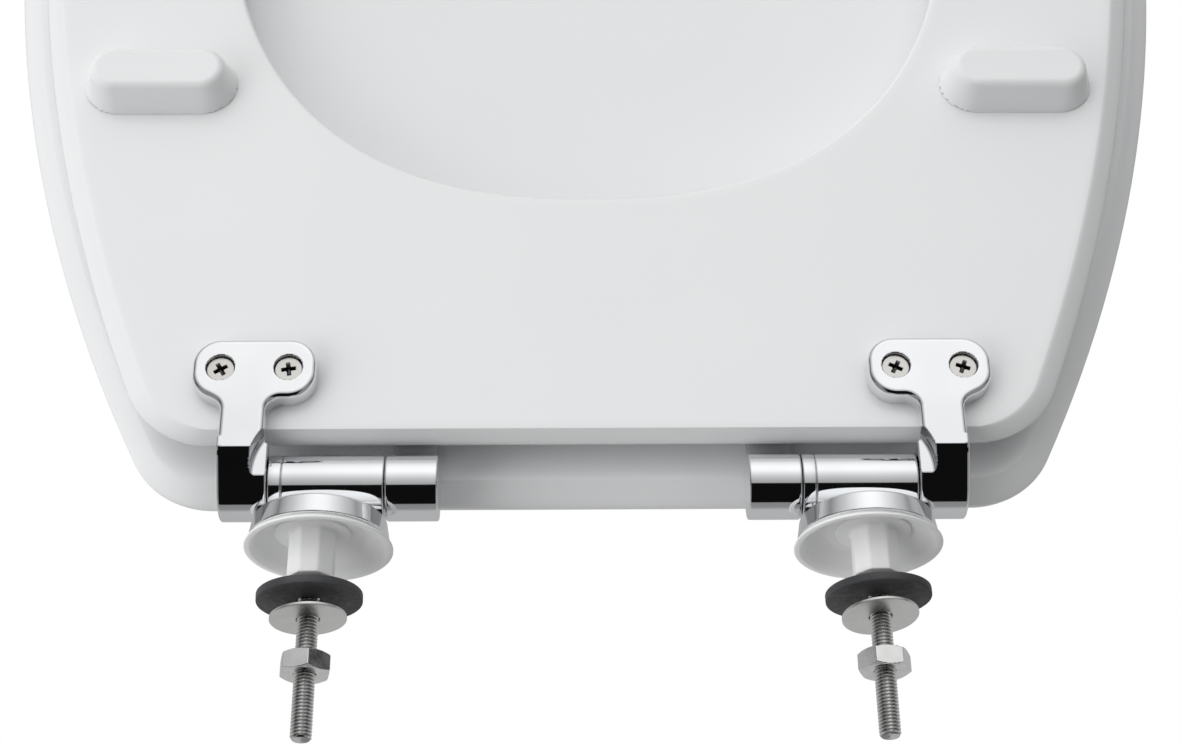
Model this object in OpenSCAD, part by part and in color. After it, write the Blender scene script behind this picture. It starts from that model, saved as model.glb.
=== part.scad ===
// Toilet seat and lid on a pair of chromed top-fixing hinges.
// Frame: origin midway between the two hinge posts, on the bowl deck. X runs along
// the hinge barrels, +Z is up and the front of the bowl is towards -Y.
// Seat and lid pieces are drawn closed, about the hinge axis, and then swung open.
// "Reach" is the distance from the hinge axis towards the front of a closed seat.

/* [Hinge posts] */
// Distance between the middles of the two post feet
foot_spacing = 155; // [140:1:180]
// How far a stud stands outside the middle of its foot
stud_offset = 1.8; // [0:0.1:2.2]
// Height of the hinge axis above the bowl deck
axis_height = 19.5; // [18:0.5:26]
// Angle by which seat and lid stand open
open_angle = 89; // [85:1:92]
// Diameter of the hinge barrels
barrel_d = 19; // [17:0.5:20]
// Length of the post barrel with its end ring
barrel_length = 32.7; // [28:0.1:40]
// Width of the separate ring at one end of the post barrel
end_ring_width = 3.7; // [2:0.1:6]
// How far the barrel's middle lies inside the middle of the foot
barrel_inset = 1.8; // [0:0.1:3]
// Side gap between a fixed barrel and a turning one
side_gap = 0.25; // [0.1:0.05:0.6]
// Diameter of the round post foot
foot_d = 40; // [38:0.5:46]
// Height of the post foot's shoulder above the deck
foot_height = 8.6; // [7.6:0.1:9.2]
// How far the foot's wall draws in from rim to shoulder
foot_draft = 0.9; // [0.5:0.1:2]
// Rounding of the post foot's shoulder
foot_edge_r = 0.8; // [0.5:0.1:1.5]
// Wall of the hollow foot at its rim
foot_wall = 2.2; // [2:0.1:3]
// Diameter of the neck that joins foot and barrel
neck_d = 14.6; // [12:0.2:20]
// Hollow fillet where the neck meets the foot
neck_fillet = 2; // [1:0.5:6]
// Clearance between the foot's shoulder and a closed seat's leg
foot_clearance = 0.3; // [0.2:0.05:1]

/* [Hinge pins] */
// Diameter of the hinge pin
pin_d = 7; // [5:0.5:8]
// Wall of the plastic bush
bush_wall = 2; // [1:0.25:2.5]
// Radial running clearance between pin and bush
pin_clearance = 0.05; // [0.02:0.01:0.09]
// Solid wall left at the closed end of a knuckle
end_wall = 3; // [1.5:0.5:5]
// End gap between the pin and the bottom of its bore
pin_end_gap = 0.3; // [0.2:0.1:1]

/* [Base discs] */
// Diameter of the plastic disc
disc_d = 42; // [41:0.2:48]
// Height of the foot's rim above the deck
disc_rim = 2.2; // [1.4:0.1:3]
// Thickness of the disc's lip, below a narrow groove under the foot
disc_lip = 0.7; // [0.5:0.1:1]
// Depth of the groove between lip and foot
lip_groove = 1; // [0.4:0.1:1.2]
// Width of the flat that bears on the deck
disc_flat = 1.6; // [1:0.1:3]
// Depth of the dish under the disc
dish_depth = 5.1; // [4:0.1:5.5]
// Diameter of the raised collar in the dish
collar_d = 21.6; // [18:0.2:24]
// How far the collar stands out of the dish
collar_step = 0.6; // [0.3:0.1:1.5]
// Wall of the disc over its dish
disc_wall = 0.9; // [0.8:0.1:1.2]
// Width of the eight-sided sleeve across its flats
sleeve_af = 12.8; // [10:0.2:15]
// Length of the sleeve below the deck
sleeve_length = 9.5; // [4:0.5:13]
// Side clearance between the foot and the disc in it
disc_clearance = 0.2; // [0.1:0.1:0.5]
// Radial clearance round the stud in the sleeve
stud_clearance = 0.4; // [0.2:0.1:0.8]

/* [Studs, washers and nuts] */
// Thread diameter of the stud
stud_d = 6; // [5:0.5:8]
// Length of the stud below the deck
stud_drop = 56.5; // [50:0.5:80]
// Depth to which the stud is screwed into the post
stud_engagement = 7; // [5:0.5:8]
// Chamfer on the stud's free end
stud_chamfer = 0.9; // [0.4:0.1:1.2]
// Outside diameter of the rubber washer
rubber_d = 29.7; // [24:0.1:36]
// Thickness of the rubber washer
rubber_thickness = 2.4; // [2:0.1:4]
// Radial slack of the rubber washer on the stud
rubber_slack = 0.9; // [0.4:0.1:1.2]
// Gap left where the rubber washer hangs against the stud
rubber_hang_gap = 0.3; // [0.1:0.05:0.4]
// Top of the rubber washer below the deck
rubber_drop = 13.4; // [13.2:0.1:15]
// Angle by which the rubber washers hang down at the front
rubber_tilt = 2.5; // [-5:0.5:5]
// Angle by which the rubber washers stand higher on the right
rubber_lean = 1.5; // [-5:0.5:5]
// Outside diameter of the steel washer
steel_d = 21.5; // [16:0.5:26]
// Thickness of the steel washer
steel_thickness = 1; // [0.8:0.1:2]
// Radial slack of the steel washer on the stud
steel_slack = 0.35; // [0.2:0.05:0.8]
// Top of the steel washer below the deck
steel_drop = 20.4; // [20:0.1:28]
// Angle by which the left steel washer hangs down at the front
steel_tilt_left = 0.5; // [-5:0.5:5]
// Angle by which the right steel washer hangs down at the front
steel_tilt_right = -3.5; // [-5:0.5:5]
// Angle by which the steel washers stand higher on the right
steel_lean = 3; // [-5:0.5:5]
// Width of the nut across its flats
nut_af = 13; // [10:0.5:16]
// Diameter of the nut's round faces, inside the chamfers
nut_face_d = 12.4; // [9:0.1:15]
// Height of the nut
nut_height = 5.8; // [4:0.1:8]
// Top of the nut below the deck
nut_drop = 32.2; // [31:0.1:40]

/* [Seat ring] */
// Greatest width of the ring
ring_width = 360; // [330:1:366]
// Thickness of the ring
ring_thickness = 15; // [13:0.5:18]
// Reach of the widest place of ring and lid
widest_reach = 255; // [235:1:275]
// Reach of the ring's rear edge
ring_rear = 12.6; // [11:0.2:14]
// Reach of the ring's front edge
ring_front = 438; // [420:1:440]
// Sweep radius of the ring's long side
ring_sweep = 590; // [520:5:700]
// Radius of the ring's rear corners
ring_corner_r = 26; // [20:1:34]
// Height of the rolled lower edge
ring_roll_height = 5; // [3:0.25:6]
// Width of the rolled lower edge at the rear
ring_roll_rear = 1.9; // [1:0.1:4]
// Width of the rolled lower edge at the sides
ring_roll_side = 5.8; // [3:0.2:7]
// Fullness of the rolled lower edges of ring and lid, where 1 is a plain chamfer
roll_fullness = 1.3; // [1:0.05:2]
// Width of the rounded outer shoulder on top
outer_shoulder = 16; // [10:0.5:18]
// Width of the rounded inner shoulder on top
inner_shoulder = 12; // [6:0.5:14]
// Height of the rounded inner shoulder
inner_shoulder_height = 10.5; // [6:0.5:11]
// Rounding of the lower edge round the opening
opening_edge_r = 1.2; // [0.5:0.1:2]
// Width of the opening
opening_width = 232; // [200:1:236]
// Reach of the opening's widest place
opening_middle = 225; // [215:1:235]
// Reach of the opening's rear end
opening_rear = 93.7; // [90:0.5:100]
// Width of the ring at its front, from the opening to the front edge
front_band = 78; // [76:1:96]
// Squareness of the opening's rear half, where 2 is an ellipse
opening_square_rear = 2.4; // [2:0.05:2.6]
// Squareness of the opening's front half
opening_square_front = 2.1; // [2:0.05:2.4]

/* [Seat buffers] */
// Height of the buffers under the ring
buffer_height = 10.5; // [9:0.5:12]
// Length of a buffer's foot face
buffer_length = 40.5; // [34:0.5:46]
// Width of a buffer's foot face
buffer_width = 14.5; // [12:0.5:18]
// How much wider a buffer is at its root, on each side
buffer_draft = 3.6; // [1:0.1:4]
// Rounding of a buffer's foot face
buffer_edge_r = 1.5; // [0.5:0.1:2.5]
// Distance of a rear buffer inside the ring's greatest width
rear_buffer_side = 46.5; // [44:0.5:52]
// Reach of a rear buffer
rear_buffer_reach = 136; // [125:1:150]
// Distance of a front buffer inside the ring's greatest width
front_buffer_side = 88; // [84:0.5:92]
// Distance of a front buffer behind the ring's front edge
front_buffer_inset = 73; // [70:0.5:76]
// Turn of a front buffer, which follows the ring
front_buffer_turn = 36; // [30:1:42]

/* [Lid] */
// Greatest width of the lid
lid_width = 384; // [376:1:400]
// Reach of the lid's rear edge
lid_rear = 1.4; // [0:0.2:4]
// How far the lid stands out over the ring's front edge
lid_overhang = 7; // [4:1:16]
// Sweep radius of the lid's long side
lid_sweep = 530; // [480:5:640]
// Radius of the lid's rear corners
lid_corner_r = 27; // [20:1:34]
// Gap between the ring's top and the lid's underside
lid_gap = 4.5; // [4.5:0.1:6]
// Thickness of the lid at its rim
lid_edge = 13; // [12:0.5:16]
// Height of the rolled lower edge of the lid
lid_roll_height = 5.5; // [3:0.5:6.5]
// Width of the rolled lower edge of the lid
lid_roll = 6.2; // [3:0.2:8]
// Width of the rounded shoulder on top of the lid
lid_shoulder = 10; // [6:0.5:12]
// Rise of the lid's top from shoulder to middle
lid_crown = 2.5; // [0:0.25:5]
// Diameter of the lid's small pads
pad_d = 12; // [8:0.5:14]
// Clearance between a pad and the ring
pad_clearance = 0.3; // [0.2:0.05:0.5]
// Distance of a rear pad from the middle plane
rear_pad_x = 118; // [114:1:122]
// Reach of a rear pad
rear_pad_reach = 110; // [106:1:118]
// Distance of a front pad from the middle plane
front_pad_x = 74; // [72:1:76]
// Distance of a front pad behind the ring's front edge
front_pad_inset = 56; // [54:1:58]

/* [Hinge legs] */
// Width of the seat leg's block on the hinge pin
block_width = 14; // [12:0.5:18]
// Width of the seat leg's neck
leg_neck_width = 13; // [10:0.5:14]
// Thickness of the seat leg's plate
leg_thickness = 6; // [5:0.25:7]
// Reach of the crease where the plate turns down to the block
crease_reach = 6.1; // [4:0.1:8]
// Distance between the two screws of a leg
screw_spacing = 19.5; // [17:0.5:24]
// Reach of the screws
screw_reach = 31.5; // [29:0.1:36]
// Corner radius of the leg's two lobes
lobe_r = 8; // [6:0.1:9]
// Size of the lobes along the leg
lobe_length = 19; // [18:0.2:21]
// Hollow fillet between a lobe and the neck
leg_fillet = 4; // [2:0.25:5]
// How far the neck is set towards the outside of the lobes
neck_offset = 2.15; // [0:0.05:2.4]
// Width of the lid leg's knuckle on the hinge pin
knuckle_width = 15; // [12:0.5:18]
// Thickness of the lid leg's plate
lid_leg_thickness = 3.4; // [3:0.1:4]
// Reach of the lid leg's heel behind the knuckle
heel_reach = 6; // [4:0.5:8]

/* [Screws] */
// Diameter of the screw head
head_d = 7.9; // [7:0.1:8.5]
// Straight edge of the screw head
head_rim = 0.4; // [0.2:0.1:0.6]
// Diameter of the screw shank
shank_d = 4; // [3:0.1:4.5]
// Radial clearance round the shank in the leg
shank_clearance = 0.1; // [0.05:0.05:0.2]
// Radial clearance round the shank in ring and lid
pilot_clearance = 0.03; // [0.02:0.01:0.05]
// Radial clearance round the head in its counterbore
head_clearance = 0.2; // [0.1:0.05:0.4]
// Depth of the seat screw's head below the leg's face
head_recess = 1.2; // [0.5:0.1:2]
// Length of the seat screws
seat_screw_length = 14; // [10:0.5:15]
// Length of the lid screws
lid_screw_length = 11; // [8:0.5:13]
// Span of the cross recess
cross_span = 4.2; // [3:0.1:5]
// Width of one bar of the cross recess
cross_bar = 0.9; // [0.6:0.1:1.2]
// Depth of the cross recess
cross_depth = 1.2; // [0.6:0.1:1.6]

/* [Hidden] */

LEFT = -1;
RIGHT = 1;
WHITE = "#f2f3f3";
CHROME = "#c9ccd0";
STEEL = "#b4b2ad";
NYLON = "#e6e8e6";
RUBBER = "#2b2c2f";

// Places along the hinge axis, as distances from the middle plane
foot_x = foot_spacing / 2;
stud_x = foot_x + stud_offset;
barrel_inner = foot_x - barrel_inset - barrel_length / 2;
barrel_outer = barrel_inner + barrel_length;
knuckle_outer = barrel_inner - side_gap;
knuckle_inner = knuckle_outer - knuckle_width;
block_inner = barrel_outer + side_gap;
block_outer = block_inner + block_width;
knuckle_bore_end = knuckle_inner + end_wall;
block_bore_end = block_outer - end_wall;

// Radii on the hinge axis; a leg's flat runs out a hair inside its knuckle's surface
barrel_r = barrel_d / 2;
facet_r = barrel_r - 0.05;
pin_r = pin_d / 2;
bush_bore_r = pin_r + pin_clearance;
bush_r = bush_bore_r + bush_wall;

// Levels of the closed seat and lid, from the hinge axis
ring_under = buffer_height - axis_height;
ring_top = ring_under + ring_thickness;
leg_face = ring_under - leg_thickness;
lid_under = ring_top + lid_gap;
lid_shoulder_top = lid_under + lid_edge;
lid_leg_face = lid_under - lid_leg_thickness;

// Places that follow the ring's outline
rear_buffer_x = ring_width / 2 - rear_buffer_side;
front_buffer_x = ring_width / 2 - front_buffer_side;
opening_front = ring_front - front_band;
front_buffer_reach = ring_front - front_buffer_inset;
lid_front = ring_front + lid_overhang;
front_pad_reach = ring_front - front_pad_inset;

// Pocket of the foot, drawn in half as much as its wall
pocket_r = foot_d / 2 - foot_wall;
pocket_draft = foot_draft / 2;

// Levels of the base disc, from the deck
dish_top = dish_depth + disc_wall;
collar_face = dish_depth - collar_step;
dish_floor_r = collar_d / 2 + stud_offset + 0.3;

// Screws, from the middle of the lobes
lobe_x = block_inner + block_width / 2 - neck_offset;
outer_screw_x = lobe_x + screw_spacing / 2;
inner_screw_x = lobe_x - screw_spacing / 2;
lid_lobe_x = knuckle_inner + knuckle_width / 2;
head_cone = (head_d - shank_d) / 2;
lobe_shift = lobe_length / 2 - lobe_r;

// Points along each stretch of a half outline
rear_points = 5;
corner_points = 6;
side_points = 8;
nose_points = 12;
roll_steps = 4;
shoulder_steps = 5;
crown_steps = [0.75, 0.5, 0.25];
ROUND = 64;

// Draws a right-hand piece on either side of the middle plane
module on_side(side) {
    if (side == LEFT) mirror([1, 0, 0]) children();
    else children();
}

// Takes a piece drawn closed about the hinge axis up to its open place
module swung_open() {
    translate([0, 0, axis_height]) rotate([-open_angle, 0, 0]) children();
}

// A round bar along X between two places, about the hinge axis
module bar(from, to, r) {
    translate([from, 0, 0]) rotate([0, 90, 0]) cylinder(r = r, h = to - from, $fn = ROUND);
}

// A profile in the plane of Y and Z, drawn out along X
module along_x(from, to) {
    translate([from, 0, 0]) rotate([90, 0, 90]) linear_extrude(to - from) children();
}

function arc(cx, cy, r, from, to, steps) =
    [for (i = [0 : steps]) let (a = from + (to - from) * i / steps) [cx + r * cos(a), cy + r * sin(a)]];

// Post: a barrel on a round hollow foot, cast in one piece
module post(side) {
    from = side == LEFT ? barrel_inner : barrel_inner + end_ring_width;
    to = side == LEFT ? barrel_outer - end_ring_width : barrel_outer;
    color(CHROME) on_side(side) difference() {
        union() {
            translate([0, 0, axis_height]) bar(from, to, barrel_r);
            translate([foot_x, 0, 0]) rotate_extrude($fn = ROUND) polygon(concat([[0, disc_rim]],
                foot_wall_line(0),
                arc(neck_d / 2 + neck_fillet, foot_height + neck_fillet, neck_fillet, 270, 180, 6),
                [[neck_d / 2, axis_height], [0, axis_height]]));
        }
        translate([0, 0, axis_height]) bar(from - 1, to + 1, pin_r);
        translate([foot_x, 0, 0]) rotate_extrude($fn = ROUND) polygon([
            [0, disc_rim - 1], [pocket_r, disc_rim - 1], [pocket_r, disc_rim],
            [pocket_r - pocket_draft, dish_top], [0, dish_top]]);
        translate([stud_x, 0, disc_rim])
            cylinder(d = stud_d, h = dish_top - disc_rim + stud_engagement, $fn = ROUND);
    }
}

// The foot's wall and rounded shoulder in section, grown by a clearance
function foot_wall_line(grow) = concat([[foot_d / 2 + grow, disc_rim]],
    arc(foot_d / 2 - foot_draft - foot_edge_r, foot_height - foot_edge_r, foot_edge_r + grow,
        atan2(foot_draft, foot_height - disc_rim - foot_edge_r), 90, 6));

// End ring: the separate ring that closes one end of the post barrel
module end_ring(side) {
    from = side == LEFT ? barrel_outer - end_ring_width : barrel_inner;
    color(CHROME) on_side(side) translate([0, 0, axis_height]) difference() {
        bar(from, from + end_ring_width, barrel_r);
        bar(from - 1, from + end_ring_width + 1, pin_r);
    }
}

// Hinge pin: fixed in the post, it reaches into the knuckle and the block
module hinge_pin(side) {
    color(STEEL) on_side(side) translate([0, 0, axis_height])
        bar(knuckle_bore_end + pin_end_gap, block_bore_end - pin_end_gap, pin_r);
}

// Base disc: a dished plastic disc with an eight-sided sleeve round the stud; collar
// and sleeve stand off its middle
module base_disc(side) {
    sleeve_r = sleeve_af / 2 / cos(180 / 8);
    color(NYLON) on_side(side) translate([stud_x, 0, 0]) difference() {
        union() {
            translate([-stud_offset, 0, 0]) rotate_extrude($fn = ROUND) polygon([
                [disc_d / 2 - disc_flat, 0], [disc_d / 2, 0], [disc_d / 2, disc_lip],
                [foot_d / 2 - lip_groove, disc_lip], [foot_d / 2 - lip_groove, disc_rim],
                [pocket_r - disc_clearance, disc_rim],
                [pocket_r - pocket_draft - disc_clearance, dish_top], [0, dish_top],
                [0, dish_depth], [dish_floor_r, dish_depth]]);
            translate([0, 0, collar_face])
                cylinder(d = collar_d, h = dish_top - collar_face - disc_wall / 2, $fn = ROUND);
            translate([0, 0, -sleeve_length]) rotate([0, 0, 180 / 8])
                cylinder(r = sleeve_r, h = sleeve_length + dish_top, $fn = 8);
        }
        translate([0, 0, -sleeve_length - 1])
            cylinder(r = stud_d / 2 + stud_clearance, h = sleeve_length + dish_top + 2, $fn = ROUND);
    }
}

// Stud: the threaded rod that goes down through the bowl
module stud(side) {
    top = dish_top + stud_engagement;
    color(STEEL) on_side(side) translate([stud_x, 0, 0]) rotate_extrude($fn = ROUND) polygon([
        [0, -stud_drop], [stud_d / 2 - stud_chamfer, -stud_drop],
        [stud_d / 2, -stud_drop + stud_chamfer], [stud_d / 2, top], [0, top]]);
}

// A plain round washer whose top is at a level below the deck, turned as it hangs
module washer(d, thickness, slack, drop, tilt, lean) {
    translate([0, 0, -drop - thickness / 2]) rotate([tilt, -lean, 0]) difference() {
        cylinder(d = d, h = thickness, center = true, $fn = ROUND);
        cylinder(r = stud_d / 2 + slack, h = thickness + 2, center = true, $fn = ROUND);
    }
}

// Rubber washer: hangs loose against the back of the stud
module rubber_washer(side) {
    color(RUBBER) on_side(side) translate([stud_x, rubber_slack - rubber_hang_gap, 0])
        washer(rubber_d, rubber_thickness, rubber_slack, rubber_drop, rubber_tilt, side * rubber_lean);
}

module steel_washer(side) {
    tilt = side == LEFT ? steel_tilt_left : steel_tilt_right;
    color(STEEL) on_side(side) translate([stud_x, 0, 0])
        washer(steel_d, steel_thickness, steel_slack, steel_drop, tilt, side * steel_lean);
}

// Nut: a six-sided nut with both faces chamfered at the corners
module nut(side) {
    corner_r = nut_af / 2 / cos(30);
    face_r = nut_face_d / 2;
    turned_r = corner_r + 1;
    chamfer = (turned_r - face_r) * tan(30);
    turn = side == LEFT ? 18 : 6;
    color(STEEL) on_side(side) translate([stud_x, 0, -nut_drop - nut_height]) difference() {
        intersection() {
            rotate([0, 0, turn]) cylinder(r = corner_r, h = nut_height, $fn = 6);
            rotate_extrude($fn = ROUND) polygon([
                [0, 0], [face_r, 0], [turned_r, chamfer],
                [turned_r, nut_height - chamfer], [face_r, nut_height], [0, nut_height]]);
        }
        translate([0, 0, -1]) cylinder(d = stud_d, h = nut_height + 2, $fn = ROUND);
    }
}

// Half outline of ring or lid, from the rear centre to the front centre.
// Each entry is [x, reach, x of the outward normal, reach of the outward normal].
function half_outline(width, sweep, rear, front, corner_r) =
    let (centre_x = width / 2 - sweep,
         corner_reach = rear + corner_r,
         corner_x = centre_x + sqrt(pow(sweep - corner_r, 2) - pow(widest_reach - corner_reach, 2)),
         join = atan2(corner_reach - widest_reach, corner_x - centre_x),
         nose = front - widest_reach)
    concat(
        [for (i = [0 : rear_points - 1]) [corner_x * i / rear_points, rear, 0, -1]],
        [for (i = [0 : corner_points]) let (a = -90 + (join + 90) * i / corner_points)
            [corner_x + corner_r * cos(a), corner_reach + corner_r * sin(a), cos(a), sin(a)]],
        [for (i = [1 : side_points]) let (a = join * (1 - i / side_points))
            [centre_x + sweep * cos(a), widest_reach + sweep * sin(a), cos(a), sin(a)]],
        [for (i = [1 : nose_points])
            let (a = 90 * i / nose_points,
                 n = unit([cos(a) * nose, sin(a) * width / 2]))
            [width / 2 * cos(a), widest_reach + nose * sin(a), n.x, n.y]]);

function unit(v) = v / norm(v);

// The whole outline, with the left half mirrored from the right
function whole_outline(half) = concat(half,
    [for (i = [len(half) - 2 : -1 : 1]) let (p = half[i]) [-p[0], p[1], -p[2], p[3]]]);

function ring_outline() = whole_outline(
    half_outline(ring_width, ring_sweep, ring_rear, ring_front, ring_corner_r));
function lid_outline() = whole_outline(
    half_outline(lid_width, lid_sweep, lid_rear, lid_front, lid_corner_r));

// Point of the opening's edge on the ray through an outline point, with its normal
function opening_point(p) =
    let (ray = unit([p[0], p[1] - opening_middle]),
         rear = ray.y < 0,
         n = rear ? opening_square_rear : opening_square_front,
         a = opening_width / 2,
         b = rear ? opening_middle - opening_rear : opening_front - opening_middle,
         r = pow(pow(abs(ray.x) / a, n) + pow(abs(ray.y) / b, n), -1 / n),
         x = ray.x * r,
         y = ray.y * r,
         slope = unit([sign(x) * pow(abs(x) / a, n - 1) / a, sign(y) * pow(abs(y) / b, n - 1) / b]))
    [x, opening_middle + y, slope.x, slope.y];

// A point inset from an outline entry, at a level; a closed piece's front is at -Y
function inset(p, distance, level) =
    [p[0] - p[2] * distance, -(p[1] - p[3] * distance), level];

// One cross-section of the ring, from the underside out, up, in and down again
function ring_section(outer, inner) =
    let (roll = ring_roll_rear + (ring_roll_side - ring_roll_rear) * abs(outer[2]),
         waist = ring_under + ring_roll_height,
         shoulder = ring_top - waist)
    concat(
        [for (i = [0 : roll_steps]) let (t = i / roll_steps)
            inset(outer, roll * pow(1 - t, roll_fullness), ring_under + ring_roll_height * t)],
        [for (i = [1 : shoulder_steps]) let (a = 90 * i / shoulder_steps)
            inset(outer, outer_shoulder * (1 - cos(a)), waist + shoulder * sin(a))],
        [for (i = [0 : shoulder_steps]) let (a = 90 * (1 - i / shoulder_steps))
            inset(inner, -inner_shoulder * (1 - cos(a)), ring_top - inner_shoulder_height * (1 - sin(a)))],
        [inset(inner, 0, ring_under + opening_edge_r), inset(inner, -opening_edge_r, ring_under)]);

// Triangles of a skin over rows of equally many points, each row a closed loop
function skin(rows, count) = [
    for (i = [0 : rows - 2], j = [0 : count - 1])
        let (a = i * count + j, b = i * count + (j + 1) % count, c = a + count, d = b + count)
        each [[a, b, d], [a, d, c]]];

// Seat ring: a moulded ring, flat below and rounded above
module seat_ring() {
    outer = ring_outline();
    sections = [for (p = outer) ring_section(p, opening_point(p))];
    n = len(outer);
    m = len(sections[0]);
    points = [for (i = [0 : n]) each sections[i % n]];
    color(WHITE) swung_open() difference() {
        closed_skin(points, n, m);
        for (side = [LEFT, RIGHT], x = [outer_screw_x, inner_screw_x])
            translate([side * x, -screw_reach, ring_under - 1])
                cylinder(r = shank_d / 2 + pilot_clearance,
                    h = seat_screw_length - leg_thickness + head_recess + 1.5, $fn = ROUND);
    }
}

// A tube of sections that closes on itself
module closed_skin(points, n, m) {
    polyhedron(points = [for (i = [0 : n * m - 1]) points[i]],
        faces = [for (f = skin(n + 1, m)) [for (v = f) v % (n * m)]], convexity = 6);
}

// Lid: a moulded slab with a flat underside, a rolled rim and a crowned top
module lid() {
    outline = lid_outline();
    n = len(outline);
    waist = lid_under + lid_roll_height;
    lower = [for (i = [0 : roll_steps]) let (t = i / roll_steps)
        for (p = outline) inset(p, lid_roll * pow(1 - t, roll_fullness), lid_under + lid_roll_height * t)];
    shoulder = lid_shoulder_top - waist;
    upper = [for (i = [1 : shoulder_steps]) let (a = 90 * i / shoulder_steps)
        for (p = outline) inset(p, lid_shoulder * (1 - cos(a)), waist + shoulder * sin(a))];
    crown = [for (k = crown_steps, p = outline)
        let (edge = inset(p, lid_shoulder, 0))
        [edge.x * k, -widest_reach + (edge.y + widest_reach) * k,
         lid_shoulder_top + lid_crown * (1 - k * k)]];
    rows = roll_steps + 1 + shoulder_steps + len(crown_steps);
    apex = rows * n;
    color(WHITE) swung_open() difference() {
        polyhedron(
            points = concat(lower, upper, crown, [[0, -widest_reach, lid_shoulder_top + lid_crown]]),
            faces = concat([[for (j = [0 : n - 1]) n - 1 - j]], skin(rows, n),
                [for (j = [0 : n - 1]) [apex - n + j, apex - n + (j + 1) % n, apex]]),
            convexity = 4);
        for (side = [LEFT, RIGHT], x = [-1, 1])
            translate([side * (lid_lobe_x + x * screw_spacing / 2), -screw_reach, lid_under - 1])
                cylinder(r = shank_d / 2 + pilot_clearance,
                    h = lid_screw_length - lid_leg_thickness + 1.5, $fn = ROUND);
    }
}

// Buffer: a rounded block under the ring, drafted towards its foot face
module seat_buffer(side, x, reach, turn) {
    foot_r = buffer_width / 2;
    root_r = foot_r + buffer_draft;
    straight = buffer_length - buffer_width;
    flank = [[root_r, 0],
        [foot_r + buffer_edge_r * buffer_draft / buffer_height, buffer_edge_r - buffer_height]];
    edge = arc(foot_r - buffer_edge_r, buffer_edge_r - buffer_height, buffer_edge_r, -15, -90, 4);
    color(WHITE) swung_open() on_side(side) translate([x, -reach, ring_under]) rotate([0, 0, turn]) {
        for (end = [-1, 1]) translate([end * straight / 2, 0, 0])
            rotate_extrude($fn = ROUND) polygon(concat([[0, 0]], flank, edge, [[0, -buffer_height]]));
        along_x(-straight / 2, straight / 2) for (half = [0, 1]) mirror([half, 0])
            polygon(concat([[0, 0]], flank, edge, [[0, -buffer_height]]));
    }
}

// Pad: a small domed stop under the lid
module lid_pad(side, x, reach) {
    height = lid_gap - pad_clearance;
    dome = height / 2;
    color(NYLON) swung_open() on_side(side) translate([x, -reach, lid_under]) rotate_extrude($fn = ROUND)
        polygon(concat([[0, 0], [pad_d / 2, 0], [pad_d / 2, dome - height]],
            arc(pad_d / 2 - dome, dome - height, dome, -15, -90, 4), [[0, -height]]));
}

// Outline of a leg's plate: two lobes on a neck, with hollow fillets between them
module leg_outline(lobe_centre, neck_from, neck_to, root) {
    left = lobe_centre - screw_spacing / 2;
    right = lobe_centre + screw_spacing / 2;
    for (x = [left, right], way = [-1, 1])
        translate([x, way * lobe_shift - screw_reach]) circle(r = lobe_r, $fn = ROUND);
    translate([left, -screw_reach - lobe_length / 2]) square([screw_spacing, lobe_length]);
    translate([left - lobe_r, -screw_reach - lobe_shift])
        square([screw_spacing + 2 * lobe_r, 2 * lobe_shift]);
    translate([neck_from, -screw_reach]) square([neck_to - neck_from, screw_reach - root]);
    leg_corner(left, neck_from, -1);
    leg_corner(right, neck_to, 1);
}

// The hollow fillet on one side of the neck, tangent to the lobe and to the neck
module leg_corner(lobe, edge, way) {
    centre_x = edge + way * leg_fillet;
    drop = sqrt(pow(lobe_r + leg_fillet, 2) - pow(centre_x - lobe, 2));
    lobe_y = lobe_shift - screw_reach;
    centre_y = lobe_y + drop;
    difference() {
        polygon([[edge - way, lobe_y], [lobe, lobe_y], [centre_x, centre_y], [edge - way, centre_y]]);
        translate([centre_x, centre_y]) circle(r = leg_fillet, $fn = ROUND);
    }
}

// Where a line from a point outside a circle touches it, turning by way
function tangent_point(p, r, way) =
    let (a = atan2(p.y, p.x) + way * acos(r / norm(p))) [r * cos(a), r * sin(a)];

// Clearance for one screw through a plate, from the face of its head onwards
module screw_hole(recess) {
    translate([0, 0, -recess - 1]) cylinder(r = head_d / 2 + head_clearance, h = recess + 1, $fn = ROUND);
    rotate_extrude($fn = ROUND) polygon([[0, -0.01], [head_d / 2 + head_clearance, -0.01],
        [head_d / 2 + head_clearance, head_rim],
        [shank_d / 2 + shank_clearance, head_rim + head_cone + head_clearance - shank_clearance],
        [shank_d / 2 + shank_clearance, leg_thickness + 1], [0, leg_thickness + 1]]);
}

// Seat leg: a flat plate under the ring that turns down to a block on the hinge pin.
// Its inner corner is relieved where it comes down over the round foot of the post.
module seat_leg(side) {
    crease = [-crease_reach, leg_face];
    neck_from = block_inner + (block_width - leg_neck_width) * 0.8;
    color(CHROME) swung_open() on_side(side) difference() {
        union() {
            translate([0, 0, leg_face]) linear_extrude(leg_thickness)
                leg_outline(lobe_x, neck_from, neck_from + leg_neck_width, crease_reach);
            bar(block_inner, block_outer, barrel_r);
            along_x(block_inner, block_outer) polygon([crease, tangent_point(crease, facet_r, 1),
                [0, 0], [-barrel_r, 0], [-barrel_r, leg_face]]);
        }
        bar(block_inner - 1, block_bore_end, bush_r);
        translate([foot_x, 0, -axis_height]) rotate_extrude($fn = ROUND)
            polygon(concat([[0, disc_rim]], foot_wall_line(foot_clearance),
                [[0, foot_height + foot_clearance]]));
        for (x = [inner_screw_x, outer_screw_x])
            translate([x, -screw_reach, leg_face + head_recess]) screw_hole(head_recess);
    }
}

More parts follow.
